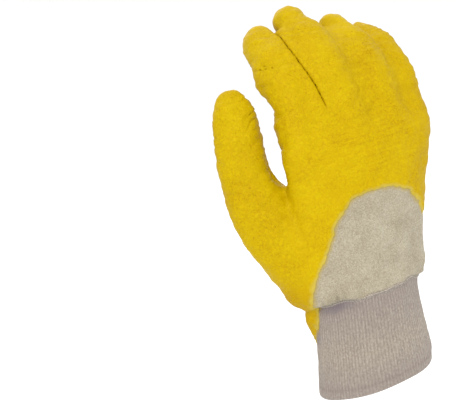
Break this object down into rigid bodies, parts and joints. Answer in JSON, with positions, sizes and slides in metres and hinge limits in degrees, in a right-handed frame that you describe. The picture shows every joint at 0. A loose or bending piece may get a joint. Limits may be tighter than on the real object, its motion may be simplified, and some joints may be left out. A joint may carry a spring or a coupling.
{
  "type": "latex coated grip glove",
  "caption": "Right-hand work glove: yellow crinkled latex over a cotton liner, bare jersey patch on the back, ribbed knit wrist, held half curled as worn.",
  "frame": {"origin": "centre of the wrist opening, in the plane of the hem", "axes": "+Z from the wrist opening towards the fingers, +Y out of the palm, +X towards the little finger; the thumb is on the -X side and the back of the hand faces -Y"},
  "size_m": [0.1525, 0.0881, 0.2494],
  "materials": {
    "jersey": "matte unbleached cotton jersey",
    "latex": "satin crinkled natural latex",
    "rib": "matte ribbed cotton knit",
    "seam_thread": "matte overlocked thread"
  },
  "bodies": {
    "root": {"liner": "jersey", "latex_coating": "latex", "knit_wrist": "rib", "wrist_seam": "seam_thread"}
  },
  "joints": []
}
